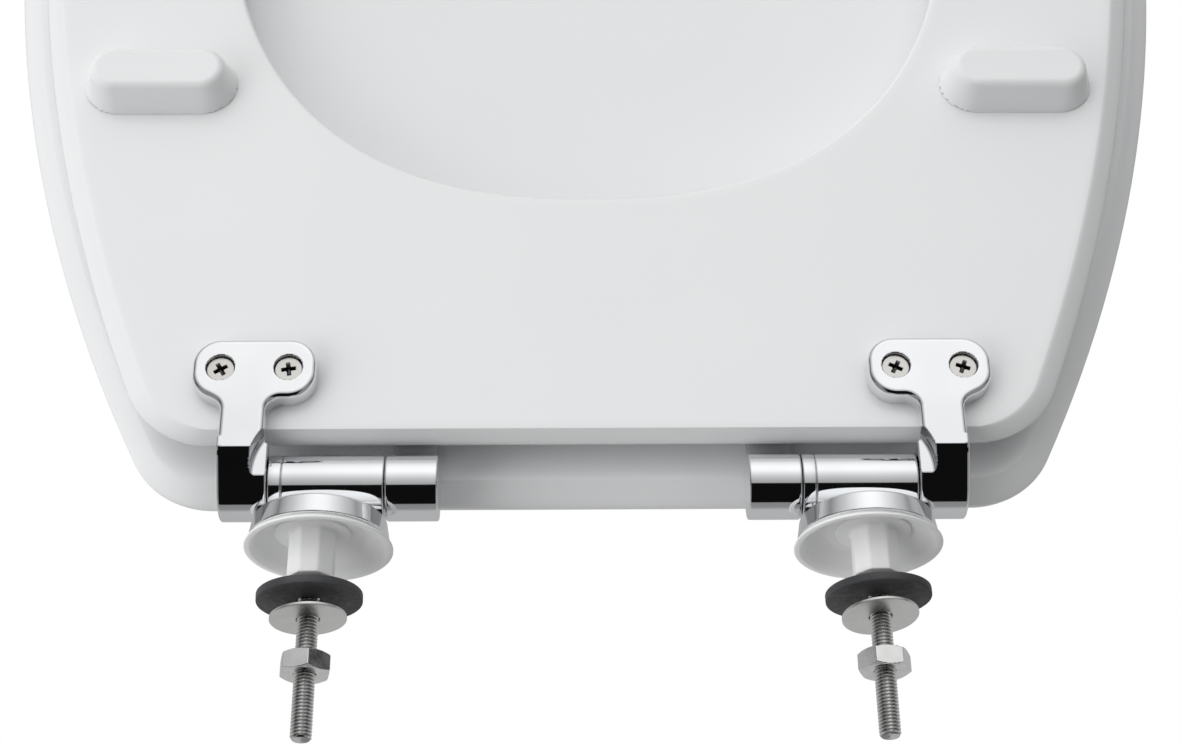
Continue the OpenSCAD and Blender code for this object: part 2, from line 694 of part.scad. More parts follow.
// Lid leg: a knuckle on the hinge pin with a thin plate under the lid
module lid_leg(side) {
    heel = [-heel_reach, lid_under];
    color(CHROME) swung_open() on_side(side) difference() {
        union() {
            translate([0, 0, lid_leg_face]) linear_extrude(lid_leg_thickness) leg_outline(lid_lobe_x,
                lid_lobe_x - leg_neck_width / 2, lid_lobe_x + leg_neck_width / 2, heel_reach);
            bar(knuckle_inner, knuckle_outer, barrel_r);
            along_x(knuckle_inner, knuckle_outer) polygon([heel, tangent_point(heel, facet_r, -1),
                [0, 0], [-barrel_r, 0], [-barrel_r, lid_under]]);
        }
        bar(knuckle_bore_end, knuckle_outer + 1, bush_r);
        for (x = [-1, 1]) translate([lid_lobe_x + x * screw_spacing / 2, -screw_reach, lid_leg_face])
            screw_hole(0);
    }
}

// Bush: a plastic sleeve pressed into a turning knuckle
module bush(side, from, to) {
    color(NYLON) swung_open() on_side(side) difference() {
        bar(from, to, bush_r);
        bar(from - 1, to + 1, bush_bore_r);
    }
}

// Countersunk screw with a cross recess, pointing up from the face of its head
module screw(side, x, face, length, turn) {
    r = shank_d / 2;
    color(STEEL) swung_open() on_side(side) translate([x, -screw_reach, face]) difference() {
        rotate_extrude($fn = ROUND) polygon([[0, 0], [head_d / 2, 0], [head_d / 2, head_rim],
            [r, head_rim + head_cone], [r, length - r], [0, length]]);
        for (bar_turn = [0, 90]) rotate([0, 0, turn + bar_turn])
            translate([-cross_span / 2, -cross_bar / 2, -1]) cube([cross_span, cross_bar, cross_depth + 1]);
    }
}

module seat_screw(side, x, turn) screw(side, x, leg_face + head_recess, seat_screw_length, turn);
module lid_screw(side, way)
    screw(side, lid_lobe_x + way * screw_spacing / 2, lid_leg_face, lid_screw_length, 45);

post(LEFT);  // post_left
post(RIGHT);  // post_right
end_ring(LEFT);  // end_ring_left
end_ring(RIGHT);  // end_ring_right
hinge_pin(LEFT);  // hinge_pin_left
hinge_pin(RIGHT);  // hinge_pin_right
base_disc(LEFT);  // base_disc_left
base_disc(RIGHT);  // base_disc_right
stud(LEFT);  // stud_left
stud(RIGHT);  // stud_right
rubber_washer(LEFT);  // rubber_washer_left
rubber_washer(RIGHT);  // rubber_washer_right
steel_washer(LEFT);  // steel_washer_left
steel_washer(RIGHT);  // steel_washer_right
nut(LEFT);  // nut_left
nut(RIGHT);  // nut_right
seat_ring();
seat_buffer(LEFT, rear_buffer_x, rear_buffer_reach, 0);  // seat_buffer_rear_left
seat_buffer(RIGHT, rear_buffer_x, rear_buffer_reach, 0);  // seat_buffer_rear_right
seat_buffer(LEFT, front_buffer_x, front_buffer_reach, front_buffer_turn);  // seat_buffer_front_left
seat_buffer(RIGHT, front_buffer_x, front_buffer_reach, front_buffer_turn);  // seat_buffer_front_right
seat_leg(LEFT);  // seat_leg_left
seat_leg(RIGHT);  // seat_leg_right
bush(LEFT, block_inner, block_bore_end);  // seat_bush_left
bush(RIGHT, block_inner, block_bore_end);  // seat_bush_right
seat_screw(LEFT, outer_screw_x, 30);  // seat_screw_left_outer
seat_screw(LEFT, inner_screw_x, 8);  // seat_screw_left_inner
seat_screw(RIGHT, inner_screw_x, 27);  // seat_screw_right_inner
seat_screw(RIGHT, outer_screw_x, 20);  // seat_screw_right_outer
lid();
lid_pad(LEFT, rear_pad_x, rear_pad_reach);  // lid_pad_rear_left
lid_pad(RIGHT, rear_pad_x, rear_pad_reach);  // lid_pad_rear_right
lid_pad(LEFT, front_pad_x, front_pad_reach);  // lid_pad_front_left
lid_pad(RIGHT, front_pad_x, front_pad_reach);  // lid_pad_front_right
lid_leg(LEFT);  // lid_leg_left
lid_leg(RIGHT);  // lid_leg_right
bush(LEFT, knuckle_bore_end, knuckle_outer);  // lid_bush_left
bush(RIGHT, knuckle_bore_end, knuckle_outer);  // lid_bush_right
lid_screw(LEFT, 1);  // lid_screw_left_outer
lid_screw(LEFT, -1);  // lid_screw_left_inner
lid_screw(RIGHT, -1);  // lid_screw_right_inner
lid_screw(RIGHT, 1);  // lid_screw_right_outer
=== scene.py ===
import math

import bpy
import numpy as np
from mathutils import Matrix


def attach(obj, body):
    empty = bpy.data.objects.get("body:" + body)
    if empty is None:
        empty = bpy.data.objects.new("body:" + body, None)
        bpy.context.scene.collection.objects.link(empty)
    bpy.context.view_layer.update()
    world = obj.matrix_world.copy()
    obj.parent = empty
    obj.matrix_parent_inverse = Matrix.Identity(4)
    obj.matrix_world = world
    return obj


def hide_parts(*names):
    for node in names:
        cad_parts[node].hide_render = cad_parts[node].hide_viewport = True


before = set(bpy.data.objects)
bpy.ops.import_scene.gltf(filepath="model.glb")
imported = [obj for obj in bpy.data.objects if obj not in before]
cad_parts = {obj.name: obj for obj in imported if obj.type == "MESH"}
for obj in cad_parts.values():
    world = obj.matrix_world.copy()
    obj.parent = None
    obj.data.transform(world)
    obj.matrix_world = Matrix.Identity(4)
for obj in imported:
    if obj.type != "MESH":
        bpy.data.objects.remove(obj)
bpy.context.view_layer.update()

MM = 0.001
LEFT, RIGHT = -1, 1
SIDES = ((LEFT, "left"), (RIGHT, "right"))
COS_45, TAN_30 = 0.707, 0.577

# Sizes in millimetres, as in the CAD source. Seat and lid are drawn closed about the hinge axis:
# y is minus the reach in front of it, z the height over it.
AXIS_HEIGHT, OPEN_ANGLE = 19.5, 89.0
FOOT_X, STUD_X = 77.5, 79.3

# Ring and lid
WIDEST = 255.0
RING_WIDTH, RING_SWEEP, RING_REAR, RING_FRONT, RING_CORNER_R = 360, 590, 12.6, 438, 26
RING_UNDER, RING_TOP = -9.0, 6.0
RING_ROLL_HEIGHT, RING_ROLL_REAR, RING_ROLL_GROWTH = 5.0, 1.9, 3.9
OUTER_SHOULDER, INNER_SHOULDER, INNER_SHOULDER_HEIGHT, OPENING_EDGE_R = 16, 12, 10.5, 1.2
OPENING_HALF_WIDTH, OPENING_MIDDLE, OPENING_BACK, OPENING_NOSE = 116.0, 225.0, 131.3, 135.0
SQUARE_BACK, SQUARE_NOSE = 2.4, 2.1
LID_WIDTH, LID_SWEEP, LID_REAR, LID_FRONT, LID_CORNER_R = 384, 530, 1.4, 445, 27
LID_UNDER, LID_SHOULDER_TOP, LID_SHOULDER, LID_CROWN = 10.5, 23.5, 10, 2.5
LID_ROLL_HEIGHT, LID_ROLL = 5.5, 6.2
ROLL_FULLNESS = 1.3

# Buffers: half the length of their straight middle, radius at the foot and its growth to the
# root, the cosine of that draft; then the place (x, reach) and turn of the right-hand ones
BUFFER_HEIGHT, BUFFER_HALF, BUFFER_R, BUFFER_DRAFT, BUFFER_EDGE_R = 10.5, 13, 7.25, 3.6, 1.8
BUFFER_SLOPE = 0.946
REAR_BUFFER = (133.5, 136, 0)
FRONT_BUFFER = (92, 365, 36)

# Barrels, knuckles, blocks and legs
BARREL_R, BARREL_IN, BARREL_OUT, END_RING = 9.5, 59.35, 92.05, 3.7
KNUCKLE_IN, KNUCKLE_OUT = 44.1, 59.1
BLOCK_IN, BLOCK_OUT = 92.3, 106.3
PIN_R, BUSH_R, END_WALL = 3.5, 5.55, 3
LEG_FACE, LID_LEG_FACE = -15.0, 7.1
CREASE_REACH, HEEL_REACH = 6.1, 6.0
LOBE_R, LOBE_SHIFT, LOBE_X, LID_LOBE_X = 8.0, 1.5, 97.15, 51.6
NECK_IN, NECK_WIDTH, LEG_ROOT, LEG_FILLET = BLOCK_IN + 0.8, 13.0, 4.0, 4.0
SCREW_REACH, SCREW_SPACING = 31.5, 19.5
SCREW_SEAT_R, SCREW_HOLE_R, SINK_DEPTH = 4.15, 2.1, 2.0
HOLE_EDGE_R = 0.15

# Screws
HEAD_R, HEAD_RIM, HEAD_HEIGHT, HEAD_RECESS = 3.95, 0.4, 4.0, 1.2
SHANK_R, SCREW_LENGTH, SCREW_POINT = 2.0, 14.0, 12.0
CROSS_ARM, CROSS_HALF_WIDTH, CROSS_CORE_R, CROSS_DEPTH = 2.15, 0.58, 1.0, 1.9

# Posts and discs
FOOT_R, FOOT_TOP, FOOT_EDGE_R, FOOT_DRAFT, FOOT_CLEARANCE = 20.0, 8.6, 0.8, 0.9, 0.3
NECK_R, NECK_BOTTOM = 7.3, 4
POCKET_R, POCKET_TOP = 17.8, 6.0
DISC_R, DISC_LIP, DISC_RIM, LIP_GROOVE, DISC_CLEARANCE = 21.0, 0.7, 2.2, 1.0, 0.2
DISH_DEPTH, DISC_BORE_R = 5.1, 5.0
COLLAR_R, COLLAR_STEP = 10.8, 0.6
SLEEVE_HALF, SLEEVE_END, SLEEVE_BORE_R = 6.4, -9.5, 3.4

# Studs, washers and nuts; the thread is drawn here only
STUD_R, STUD_TIP, STUD_TOP, STUD_TIP_R, TIP_SLOPE = 3.0, -56.5, 13.0, 2.4, 0.95
THREAD_PITCH, THREAD_DEPTH, CREST_HALF, FLANK = 1.0, 0.6, 0.08, 0.30
NUT_HALF, NUT_HEIGHT, NUT_BOTTOM, NUT_FACE_R, NUT_BORE_CHAMFER = 6.5, 5.8, -38.0, 6.2, 0.5
NUT_TURN = {LEFT: 18, RIGHT: 6}
STEEL_WASHER_TILT = {LEFT: 0.5, RIGHT: -3.5}


# ---------------------------------------------------------------- geometry helpers

def opened(points):
    """Points of the closed seat or lid, taken up to their open place in the part's frame."""
    p = np.asarray(points, float)
    t = math.radians(-OPEN_ANGLE)
    y, z = p[:, 1], p[:, 2]
    return np.stack([p[:, 0], y * math.cos(t) - z * math.sin(t),
                     y * math.sin(t) + z * math.cos(t) + AXIS_HEIGHT], 1)


def opened_normals(normals):
    return opened(normals) - opened(np.zeros((1, 3)))


def piece(node, ending, points, faces, body, material, smooth=None, normals=None,
          side=RIGHT):
    """A mesh that stands for a CAD node, from millimetres in the part's frame; LEFT mirrors it."""
    points = np.array(points, float) * MM
    faces = [list(f) for f in faces]
    if side == LEFT:
        points[:, 0] *= -1
        faces = [f[::-1] for f in faces]
    name = node + "_" + ending
    mesh = bpy.data.meshes.new(name)
    mesh.from_pydata(points.tolist(), [], faces)
    mesh.validate()
    mesh.polygons.foreach_set("use_smooth", [True] * len(mesh.polygons))
    if smooth is not None:
        mesh.set_sharp_from_angle(angle=math.radians(smooth))
    if normals is not None:
        normals = np.array(normals, float)
        if side == LEFT:
            normals[:, 0] *= -1
        mesh.normals_split_custom_set_from_vertices(normals.tolist())
    mesh.materials.append(material)
    obj = bpy.data.objects.new(name, mesh)
    bpy.context.scene.collection.objects.link(obj)
    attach(obj, body)
    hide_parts(node)


def gradient(field, p, h):
    g = np.empty_like(p)
    for i in range(3):
        step = np.zeros(3)
        step[i] = h
        g[:, i] = (field(*(p + step).T) - field(*(p - step).T)) / (2 * h)
    return g


def net(field, low, high, step):
    """Points, quads and normals of the surface where a distance field is zero.

    One point per cell that the surface crosses, drawn onto it by Newton steps. No wall may be
    thinner than about a step.
    """
    # An odd share of a step, so that no flat face lies in a plane of the grid
    low = np.array(low, float) - step * 1.37
    count = np.ceil((np.array(high, float) + step * 1.5 - low) / step).astype(int) + 1
    axes = [low[i] + step * np.arange(count[i]) for i in range(3)]
    inside = field(*np.meshgrid(*axes, indexing="ij")) < 0
    total = np.zeros(count - 1, int)
    for i in (0, 1):
        for j in (0, 1):
            for k in (0, 1):
                total += inside[i:count[0] - 1 + i, j:count[1] - 1 + j, k:count[2] - 1 + k]
    active = (total > 0) & (total < 8)
    index = np.full(active.shape, -1)
    index[active] = np.arange(active.sum())
    start = low + step * (np.argwhere(active) + 0.5)
    p = start.copy()
    for _ in range(8):
        g = gradient(field, p, step * 0.05)
        p -= (field(*p.T) / np.maximum((g * g).sum(1), 0.05))[:, None] * g
        p = np.clip(p, start - 0.7 * step, start + 0.7 * step)
    quads = []
    for axis in range(3):
        u, v = (axis + 1) % 3, (axis + 2) % 3
        near = np.take(inside, range(count[axis] - 1), axis)
        far = np.take(inside, range(1, count[axis]), axis)
        at = np.argwhere(near != far)
        at = at[(at[:, u] > 0) & (at[:, u] < count[u] - 1)
                & (at[:, v] > 0) & (at[:, v] < count[v] - 1)]
        outward = near[tuple(at.T)]

        def cell(du, dv):
            q = at.copy()
            q[:, u] += du
            q[:, v] += dv
            return index[tuple(q.T)]

        quad = np.stack([cell(-1, -1), cell(0, -1), cell(0, 0), cell(-1, 0)], 1)
        quads.append(np.where(outward[:, None], quad, quad[:, ::-1]))
    n = gradient(field, p, step * 0.1)
    n /= np.linalg.norm(n, axis=1)[:, None]
    return p, np.concatenate(quads), n


def cut(a, b, r):
    """What lies in both a and b, with its edge rounded."""
    if r <= 0:
        return np.maximum(a, b)
    corner = np.hypot(np.maximum(r + a, 0), np.maximum(r + b, 0))
    return np.minimum(-r, np.maximum(a, b)) + corner


def join(a, b, r):
    """What lies in a or b, with a hollow fillet between them."""
    return -cut(-a, -b, r)


def stadium(x, y, half, r):
    """Distance to a bar along x with round ends."""
    return np.hypot(x - np.clip(x, -half, half), y) - r


def slab(x, low, high):
    return np.maximum(low - x, x - high)


def flat_box(x, y, x0, x1, y0, y1):
    a, b = slab(x, x0, x1), slab(y, y0, y1)
    return np.hypot(np.maximum(a, 0), np.maximum(b, 0)) + np.minimum(np.maximum(a, b), 0)


def prism(x, y, angles, half, edge):
    """Distance to a regular prism about the origin, whose pairs of flats face the angles."""
    flats = None
    for a in angles:
        d = np.abs(x * math.cos(a) + y * math.sin(a)) - half
        flats = d if flats is None else cut(flats, d, edge)
    return flats


def lathe(profile, segments, centre_x=0):
    """Points and quads of a closed anticlockwise profile of (radius, z), turned about z."""
    n = len(profile)
    angle = 2 * math.pi * np.arange(segments) / segments
    r, z = np.array(profile, float).T
    points = np.stack([np.outer(np.cos(angle), r) + centre_x, np.outer(np.sin(angle), r),
                       np.tile(z, (segments, 1))], 2).reshape(-1, 3)
    faces = []
    for i in range(segments):
        a, b = i * n, ((i + 1) % segments) * n
        for j in range(n):
            k = (j + 1) % n
            faces.append([a + j, b + j, b + k, a + k])
    return points, faces


def grid(rows, columns, closed=False):
    """Quads between rows of points that each run round; closed joins the last to the first."""
    faces = []
    for i in range(rows if closed else rows - 1):
        a, b = i * columns, (i + 1) % rows * columns
        for j in range(columns):
            k = (j + 1) % columns
            faces.append([a + j, a + k, b + k, b + j])
    return faces


def arc(cx, cy, r, start, end, count):
    angles = [math.radians(start + (end - start) * i / count) for i in range(count + 1)]
    return [(cx + r * math.cos(a), cy + r * math.sin(a)) for a in angles]


def quarter(count):
    return [math.pi / 2 * i / count for i in range(count + 1)]


def steps(count):
    return [i / count for i in range(count + 1)]


# ---------------------------------------------------------------- node helpers

def shader(name):
    m = bpy.data.materials.new(name)
    m.use_nodes = True
    return m, m.node_tree, m.node_tree.nodes["Principled BSDF"]


def figure(tree, operation, a, b=None):
    """A Math node's result; a and b are numbers or sockets."""
    node = tree.nodes.new("ShaderNodeMath")
    node.operation = operation
    for socket, value in zip(node.inputs, (a, b)):
        if isinstance(value, (int, float)):
            socket.default_value = value
        elif value is not None:
            tree.links.new(value, socket)
    return node.outputs[0]


def noise(tree, scale, detail=3.0, stretch=(1, 1, 1)):
    place = tree.nodes.new("ShaderNodeTexCoord")
    mapping = tree.nodes.new("ShaderNodeMapping")
    mapping.inputs["Scale"].default_value = stretch
    texture = tree.nodes.new("ShaderNodeTexNoise")
    texture.inputs["Scale"].default_value = scale
    texture.inputs["Detail"].default_value = detail
    tree.links.new(place.outputs["Object"], mapping.inputs["Vector"])
    tree.links.new(mapping.outputs["Vector"], texture.inputs["Vector"])
    return texture.outputs["Fac"]


def ramp(tree, value, low, high, start=0.35, end=0.65, smooth=False):
    """Takes a value from low at start to high at end; noise mostly lies between 0.35 and 0.65."""
    node = tree.nodes.new("ShaderNodeMapRange")
    node.interpolation_type = "SMOOTHSTEP" if smooth else "LINEAR"
    node.inputs["From Min"].default_value = start
    node.inputs["From Max"].default_value = end
    node.inputs["To Min"].default_value = low
    node.inputs["To Max"].default_value = high
    tree.links.new(value, node.inputs["Value"])
    return node.outputs["Result"]


def colours(tree, mask, low, high):
    """A mix of two colours; the first may be a socket."""
    node = tree.nodes.new("ShaderNodeMix")
    node.data_type = "RGBA"
    if isinstance(low, tuple):
        node.inputs["A"].default_value = (*low, 1)
    else:
        tree.links.new(low, node.inputs["A"])
    node.inputs["B"].default_value = (*high, 1)
    tree.links.new(mask, node.inputs["Factor"])
    return node.outputs["Result"]


def bump(tree, target, height, strength, distance):
    node = tree.nodes.new("ShaderNodeBump")
    node.inputs["Strength"].default_value = strength
    node.inputs["Distance"].default_value = distance
    tree.links.new(height, node.inputs["Height"])
    tree.links.new(node.outputs["Normal"], target.inputs["Normal"])


def axes_of(tree, output):
    """The X, Y and Z of the place on a surface, in metres, or of a direction."""
    place = tree.nodes.new("ShaderNodeTexCoord")
    split = tree.nodes.new("ShaderNodeSeparateXYZ")
    tree.links.new(place.outputs[output], split.inputs[0])
    return split.outputs


def mix_shaders(tree, which, low, high):
    node = tree.nodes.new("ShaderNodeMixShader")
    tree.links.new(which, node.inputs[0])
    tree.links.new(low.outputs[0], node.inputs[1])
    tree.links.new(high.outputs[0], node.inputs[2])
    return node


# ---------------------------------------------------------------- materials

def make_white():
    m, tree, p = shader("white_gloss_coat")
    tone = colours(tree, ramp(tree, noise(tree, 9, 2), 0, 1),
                   (0.835, 0.842, 0.850), (0.855, 0.862, 0.868))
    tree.links.new(tone, p.inputs["Base Color"])
    tree.links.new(ramp(tree, noise(tree, 60, 3), 0.14, 0.22), p.inputs["Roughness"])
    bump(tree, p, noise(tree, 260, 2), 0.06, 0.0002)
    p.inputs["IOR"].default_value = 1.5
    return m


def make_chrome():
    m, tree, p = shader("bright_chrome")
    tone = colours(tree, ramp(tree, noise(tree, 40, 2), 0, 1),
                   (0.83, 0.84, 0.86), (0.89, 0.90, 0.91))
    tree.links.new(tone, p.inputs["Base Color"])
    p.inputs["Metallic"].default_value = 1.0
    tree.links.new(ramp(tree, noise(tree, 120, 4), 0.03, 0.075), p.inputs["Roughness"])
    bump(tree, p, noise(tree, 90, 2), 0.05, 0.0003)
    return m


def make_nylon():
    m, tree, p = shader("milky_plastic")
    tone = colours(tree, ramp(tree, noise(tree, 45, 3), 0, 1),
                   (0.93, 0.94, 0.935), (0.96, 0.965, 0.96))
    tree.links.new(tone, p.inputs["Base Color"])
    tree.links.new(ramp(tree, noise(tree, 300, 3), 0.30, 0.42), p.inputs["Roughness"])
    p.inputs["Subsurface Weight"].default_value = 0.3
    p.inputs["Subsurface Radius"].default_value = (1.0, 1.0, 1.0)
    p.inputs["Subsurface Scale"].default_value = 0.003
    bump(tree, p, noise(tree, 500, 2), 0.08, 0.0002)
    return m


def make_rubber():
    m, tree, p = shader("dark_rubber")
    tone = colours(tree, ramp(tree, noise(tree, 80, 4), 0, 1),
                   (0.042, 0.043, 0.046), (0.070, 0.071, 0.075))
    tree.links.new(tone, p.inputs["Base Color"])
    tree.links.new(ramp(tree, noise(tree, 500, 4), 0.50, 0.68), p.inputs["Roughness"])
    bump(tree, p, noise(tree, 900, 4), 0.25, 0.0003)
    return m


def make_steel(name, low, high, rough_low, rough_high, scale, strength, stretch=(1, 1, 1)):
    m, tree, p = shader(name)
    grain = noise(tree, scale, 5, stretch)
    tree.links.new(colours(tree, ramp(tree, grain, 0, 1), low, high), p.inputs["Base Color"])
    p.inputs["Metallic"].default_value = 1.0
    tree.links.new(ramp(tree, grain, rough_low, rough_high), p.inputs["Roughness"])
    bump(tree, p, grain, strength, 0.0002)
    return m


def make_zinc(name):
    return make_steel(name, (0.72, 0.72, 0.715), (0.82, 0.82, 0.815), 0.14, 0.22, 300, 0.03)


def make_nickel(name):
    return make_steel(name, (0.66, 0.65, 0.62), (0.76, 0.75, 0.72), 0.22, 0.34, 400, 0.10)


# Mixes painted shade into a material's base colour where the mask is high
def paint_shade(material, mask, colour):
    tree = material.node_tree
    base = tree.nodes["Principled BSDF"].inputs["Base Color"]
    tree.links.new(colours(tree, mask, base.links[0].from_socket, colour), base)


def make_stud_steel(side, name):
    """Zinc with painted shade low in the thread of one stud; it follows build_stud's phase."""
    material = make_zinc("threaded_steel_" + name)
    tree = material.node_tree
    place = axes_of(tree, "Object")
    across = figure(tree, "SUBTRACT", place["X"], side * STUD_X * MM)
    turn = figure(tree, "DIVIDE", figure(tree, "ARCTAN2", place["Y"], across), 2 * math.pi)
    along = figure(tree, "DIVIDE", place["Z"], THREAD_PITCH * MM)
    # The left thread is the right one's mirror image, half a turn on; 100 keeps it above zero
    start = 100 + (0.5 if side == LEFT else 0)
    phase = figure(tree, "FRACT", figure(tree, "ADD", figure(tree, "SUBTRACT", along, turn), start))
    from_crest = figure(tree, "ABSOLUTE", figure(tree, "SUBTRACT", phase, 0.5))
    # Painted shade in the thread's valleys, away from the crests
    paint_shade(material, ramp(tree, from_crest, 0, 1, 0.18, 0.38), (0.30, 0.30, 0.295))
    return material


def make_seat_screw_steel():
    """Nickel with painted shade down in the cross, which lies behind the opened leg's head face."""
    material = make_nickel("nickel_steel_painted_shade_in_cross")
    tree = material.node_tree
    face = opened([(0, -SCREW_REACH, LEG_FACE + HEAD_RECESS)])[0, 1]
    depth = ramp(tree, axes_of(tree, "Object")["Y"], 0, 1, (face + 0.15) * MM, (face + 0.4) * MM)
    # Painted shade in the cross's recess
    paint_shade(material, depth, (0.09, 0.09, 0.09))
    return material


WHITE = make_white()
CHROME = make_chrome()
PIN_STEEL = make_zinc("zinc_plated_steel")
STUD_STEEL = {side: make_stud_steel(side, name) for side, name in SIDES}
WASHER_STEEL = make_steel("satin_steel", (0.76, 0.755, 0.745), (0.84, 0.835, 0.825), 0.26, 0.36,
                          160, 0.12, stretch=(1, 1, 6))
SCREW_STEEL = make_nickel("nickel_steel")
SEAT_SCREW_STEEL = make_seat_screw_steel()
NUT_STEEL = make_steel("bright_steel", (0.82, 0.82, 0.815), (0.90, 0.90, 0.895), 0.07, 0.16,
                       260, 0.08)
NYLON = make_nylon()
RUBBER = make_rubber()

# The CAD's own nodes by how their names start; the first match counts, so the lid comes last
NODE_MATERIALS = (
    (CHROME, ("post", "end_ring", "seat_leg", "lid_leg")),
    (RUBBER, ("rubber_washer",)),
    (NYLON, ("base_disc", "seat_bush", "lid_bush", "lid_pad")),
    (SCREW_STEEL, ("seat_screw", "lid_screw")),
    (WASHER_STEEL, ("steel_washer",)),
    (PIN_STEEL, ("hinge_pin", "stud", "nut")),
    (WHITE, ("seat_ring", "seat_buffer", "lid")),
)

for name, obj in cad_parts.items():
    obj.data.materials.clear()
    obj.data.materials.append(next(m for m, starts in NODE_MATERIALS if name.startswith(starts)))


# ---------------------------------------------------------------- ring and lid

def half_outline(width, sweep, rear, front, corner_r):
    """Half an outline as rows of x, reach and outward normal, from the rear centre to the front.

    A straight rear edge, a corner, a long side arc out to the widest place, and half an ellipse.
    """
    rear_n, corner_n, side_n, nose_n = 14, 18, 30, 44
    cx = width / 2 - sweep
    reach = rear + corner_r
    corner_x = cx + math.sqrt((sweep - corner_r) ** 2 - (WIDEST - reach) ** 2)
    meet = math.atan2(reach - WIDEST, corner_x - cx)
    nose = front - WIDEST
    rows = [(corner_x * i / rear_n, rear, 0, -1) for i in range(rear_n)]
    for i in range(corner_n + 1):
        a = -math.pi / 2 + (meet + math.pi / 2) * i / corner_n
        rows.append((corner_x + corner_r * math.cos(a), reach + corner_r * math.sin(a),
                     math.cos(a), math.sin(a)))
    for i in range(1, side_n + 1):
        a = meet * (1 - i / side_n)
        rows.append((cx + sweep * math.cos(a), WIDEST + sweep * math.sin(a),
                     math.cos(a), math.sin(a)))
    for i in range(1, nose_n + 1):
        a = math.pi / 2 * i / nose_n
        n = np.array([math.cos(a) * nose, math.sin(a) * width / 2])
        n /= np.linalg.norm(n)
        rows.append((width / 2 * math.cos(a), WIDEST + nose * math.sin(a), n[0], n[1]))
    return rows


def whole(half):
    return half + [(-x, r, -nx, nr) for x, r, nx, nr in half[-2:0:-1]]


def opening(p):
    """Point of the ring's opening on the ray through an outline point, with its normal."""
    ray = np.array([p[0], p[1] - OPENING_MIDDLE])
    ray /= np.linalg.norm(ray)
    n, b = (SQUARE_BACK, OPENING_BACK) if ray[1] < 0 else (SQUARE_NOSE, OPENING_NOSE)
    half = OPENING_HALF_WIDTH
    r = ((abs(ray[0]) / half) ** n + (abs(ray[1]) / b) ** n) ** (-1 / n)
    x, y = ray * r
    slope = np.array([math.copysign((abs(x) / half) ** (n - 1) / half, x),
                      math.copysign((abs(y) / b) ** (n - 1) / b, y)])
    slope /= np.linalg.norm(slope)
    return (x, OPENING_MIDDLE + y, slope[0], slope[1])


def inset(p, distance, level):
    """A place at a distance in from an outline point, closed."""
    return (p[0] - p[2] * distance, -(p[1] - p[3] * distance), level)


def rolled(roll, height, under, top, shoulder, count):
    """Insets and levels up a moulded edge: the roll under it, then the shoulder over it."""
    waist = under + height
    rows = [(roll + 0.04, under + 0.07)]
    rows += [(roll * (1 - t) ** ROLL_FULLNESS, under + height * t) for t in steps(count)[1:]]
    return rows + [(shoulder * (1 - math.cos(a)), waist + (top - waist) * math.sin(a))
                   for a in quarter(14)[1:]]


def ring_section(outer, inner):
    """The section at one outline point: up the outer edge, over the top, down into the opening."""
    roll = RING_ROLL_REAR + RING_ROLL_GROWTH * abs(outer[2])
    edge = rolled(roll, RING_ROLL_HEIGHT, RING_UNDER, RING_TOP, OUTER_SHOULDER, 8)
    rows = [inset(outer, roll + 0.35, RING_UNDER)] + [inset(outer, *at) for at in edge]
    rows += [inset(inner, -INNER_SHOULDER * (1 - math.cos(a)),
                   RING_TOP - INNER_SHOULDER_HEIGHT * (1 - math.sin(a)))
             for a in quarter(12)[::-1]]
    rows += [inset(inner, -OPENING_EDGE_R * (1 - math.cos(a)),
                   RING_UNDER + OPENING_EDGE_R * (1 - math.sin(a))) for a in quarter(4)]
    # Two more rows keep the flat underside's shading flat
    return rows + [inset(inner, -3.2, RING_UNDER), inset(outer, roll + 2.5, RING_UNDER)]


def build_ring():
    outline = whole(half_outline(RING_WIDTH, RING_SWEEP, RING_REAR, RING_FRONT, RING_CORNER_R))
    rows = [ring_section(p, opening(p)) for p in outline]
    piece("seat_ring", "moulding", opened([p for row in rows for p in row]),
          grid(len(rows), len(rows[0]), closed=True), "seat", WHITE, smooth=40)


def build_lid():
    outline = whole(half_outline(LID_WIDTH, LID_SWEEP, LID_REAR, LID_FRONT, LID_CORNER_R))
    n = len(outline)
    # Two rows on the flat underside come first
    levels = [(LID_ROLL + 2.8, LID_UNDER), (LID_ROLL + 0.3, LID_UNDER)]
    levels += rolled(LID_ROLL, LID_ROLL_HEIGHT, LID_UNDER, LID_SHOULDER_TOP, LID_SHOULDER, 10)
    rows = [[inset(p, *at) for p in outline] for at in levels]
    edge = [inset(p, LID_SHOULDER, 0) for p in outline]
    for k in (0.97, 0.9, 0.78, 0.62, 0.45, 0.3, 0.15):
        level = LID_SHOULDER_TOP + LID_CROWN * (1 - k * k)
        rows.append([(x * k, -WIDEST + (y + WIDEST) * k, level) for x, y, _ in edge])
    points = [p for row in rows for p in row]
    apex = len(points)
    points.append((0, -WIDEST, LID_SHOULDER_TOP + LID_CROWN))
    faces = [list(range(n))[::-1]] + grid(len(rows), n)
    faces += [[apex - n + j, apex - n + (j + 1) % n, apex] for j in range(n)]
    piece("lid", "moulding", opened(points), faces, "lid", WHITE, smooth=40)


def build_buffer(node, side, x, reach, turn):
    def field(px, py, pz):
        depth = -pz
        r = BUFFER_R + BUFFER_DRAFT * (1 - depth / BUFFER_HEIGHT)
        wall = stadium(px, py, BUFFER_HALF, r) * BUFFER_SLOPE
        return np.maximum(cut(wall, depth - BUFFER_HEIGHT, BUFFER_EDGE_R), -depth)

    p, faces, n = net(field, (-24, -11, -BUFFER_HEIGHT), (24, 11, 0), step=0.6)
    t = math.radians(turn)
    spin = np.array([[math.cos(t), -math.sin(t), 0], [math.sin(t), math.cos(t), 0], [0, 0, 1]])
    p = p @ spin.T + (x, -reach, RING_UNDER)
    piece(node, "moulding", opened(p), faces, "seat", WHITE,
          normals=opened_normals(n @ spin.T), side=side)


# ---------------------------------------------------------------- castings

